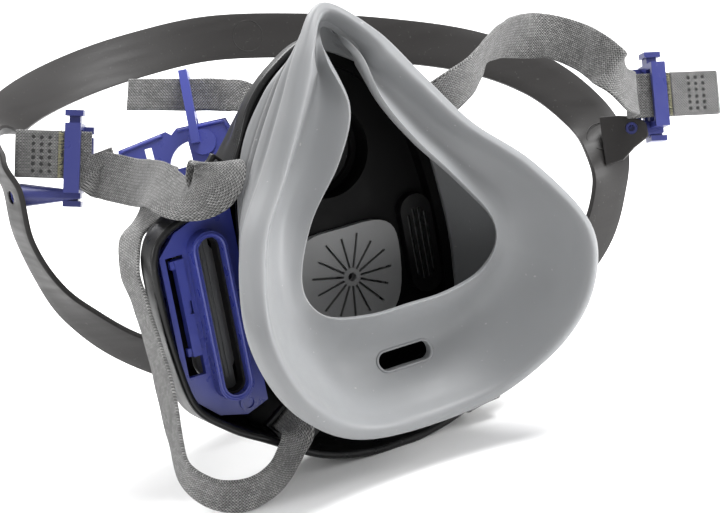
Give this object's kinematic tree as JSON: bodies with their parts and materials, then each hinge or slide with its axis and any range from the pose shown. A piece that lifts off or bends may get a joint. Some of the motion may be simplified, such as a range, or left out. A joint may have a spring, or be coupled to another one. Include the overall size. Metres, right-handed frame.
{
  "type": "half-mask respirator",
  "caption": "Reusable half-mask respirator: silicone face seal, valved front cover with side filter ports, knitted straps, buckles and a head cradle.",
  "frame": {"origin": "on the symmetry plane of the mask at the middle of the face opening, where the cheeks touch the seal", "axes": "+Z from chin to nose, +Y the way the wearer faces (front of the mask), +X to the wearer's right"},
  "size_m": [0.2388, 0.1684, 0.1349],
  "materials": {
    "silicone": "soft matt silicone",
    "clear_silicone": "thin satin silicone",
    "black_rubber": "matt rubber",
    "black_plastic": "fine moulded texture, satin",
    "cradle_plastic": "satin moulded plastic",
    "grey_plastic": "matt moulded plastic",
    "blue_plastic": "semi-gloss moulded plastic",
    "webbing": "knitted heather webbing",
    "diaphragm_film": "thin film",
    "spring_steel": "bright wire"
  },
  "bodies": {
    "root": {"face_seal": "silicone", "inner_frame": "black_plastic", "valve_guard": "grey_plastic", "exhalation_seat": "grey_plastic", "flap_stud": "black_plastic", "exhalation_cover": "black_plastic", "voice_gasket": "black_rubber", "voice_diaphragm": "diaphragm_film", "voice_clamp": "black_plastic", "voice_grille": "black_plastic", "front_cover": "black_plastic", "front_panel": "black_plastic", "inhale_grille_left": "black_plastic", "inhale_grille_right": "black_plastic", "port_plate_left": "blue_plastic", "port_plate_right": "blue_plastic", "port_gasket_left": "black_rubber", "port_gasket_right": "black_rubber", "button_spring_left": "spring_steel", "button_spring_right": "spring_steel", "head_cradle": "cradle_plastic", "upper_strap_left": "webbing", "upper_strap_right": "webbing", "neck_strap_left": "webbing", "neck_strap_right": "webbing", "neck_clip_socket": "blue_plastic"},
    "exhalation_flap": {"exhalation_flap": "clear_silicone"},
    "neck_clip_hook": {"neck_clip_hook": "blue_plastic", "neck_tail": "webbing"},
    "inhale_flap_left": {"inhale_flap_left": "clear_silicone"},
    "latch_left": {"latch_left": "blue_plastic"},
    "check_button_left": {"check_button_left": "black_plastic"},
    "buckle_lever_left": {"buckle_lever_left": "blue_plastic"},
    "buckle_left": {"buckle_left": "blue_plastic", "strap_tab_left": "webbing"},
    "inhale_flap_right": {"inhale_flap_right": "clear_silicone"},
    "latch_right": {"latch_right": "blue_plastic"},
    "check_button_right": {"check_button_right": "black_plastic"},
    "buckle_lever_right": {"buckle_lever_right": "blue_plastic"},
    "buckle_right": {"buckle_right": "blue_plastic", "strap_tab_right": "webbing"}
  },
  "joints": [
    {"name": "exhalation_flap_lift", "type": "slide", "parent": "root", "child": "exhalation_flap", "axis": [0, 1, 0], "range_m": [0, 0.0015], "stiffness_N_per_m": 5, "springref_m": -0.0005},
    {"name": "inhale_flap_left_lift", "type": "slide", "parent": "root", "child": "inhale_flap_left", "axis": [0, -1, 0], "range_m": [0, 0.0012], "stiffness_N_per_m": 5, "springref_m": -0.0005},
    {"name": "latch_left_slide", "type": "slide", "parent": "root", "child": "latch_left", "axis": [-1, 0, 0], "range_m": [0, 0.001], "stiffness_N_per_m": 500, "springref_m": -0.001},
    {"name": "check_button_left_press", "type": "slide", "parent": "root", "child": "check_button_left", "axis": [0, -1, 0], "range_m": [0, 0.003], "stiffness_N_per_m": 300, "springref_m": -0.002, "deforming": ["button_spring_left"]},
    {"name": "buckle_left_swivel", "type": "hinge", "parent": "root", "child": "buckle_left", "pos_m": [-0.076, 0.114, 0.015], "axis": [1, 0, 0], "range_deg": [-8, 8]},
    {"name": "buckle_lever_left_lift", "type": "hinge", "parent": "buckle_left", "child": "buckle_lever_left", "pos_m": [-0.05075, 0.1114, 0.02071], "axis": [0.2845, 0.1035, 0.9531], "range_deg": [0, 36]},
    {"name": "inhale_flap_right_lift", "type": "slide", "parent": "root", "child": "inhale_flap_right", "axis": [0, -1, 0], "range_m": [0, 0.0012], "stiffness_N_per_m": 5, "springref_m": -0.0005},
    {"name": "latch_right_slide", "type": "slide", "parent": "root", "child": "latch_right", "axis": [1, 0, 0], "range_m": [0, 0.001], "stiffness_N_per_m": 500, "springref_m": -0.001},
    {"name": "check_button_right_press", "type": "slide", "parent": "root", "child": "check_button_right", "axis": [0, -1, 0], "range_m": [0, 0.003], "stiffness_N_per_m": 300, "springref_m": -0.002, "deforming": ["button_spring_right"]},
    {"name": "buckle_right_swivel", "type": "hinge", "parent": "root", "child": "buckle_right", "pos_m": [0.126, 0.085, -0.011], "axis": [0.559, 0.7694, -0.309], "range_deg": [-8, 8]},
    {"name": "buckle_lever_right_lift", "type": "hinge", "parent": "buckle_right", "child": "buckle_lever_right", "pos_m": [0.13358, 0.09073, -0.00341], "axis": [-0.2246, -0.231, -0.9467], "range_deg": [0, 36]},
    {"name": "neck_clip_hook_swing", "type": "hinge", "parent": "root", "child": "neck_clip_hook", "pos_m": [-0.01815, 0.09765, 0.01918], "axis": [0.4106, 0.8837, -0.2244], "range_deg": [-10, 10]}
  ]
}
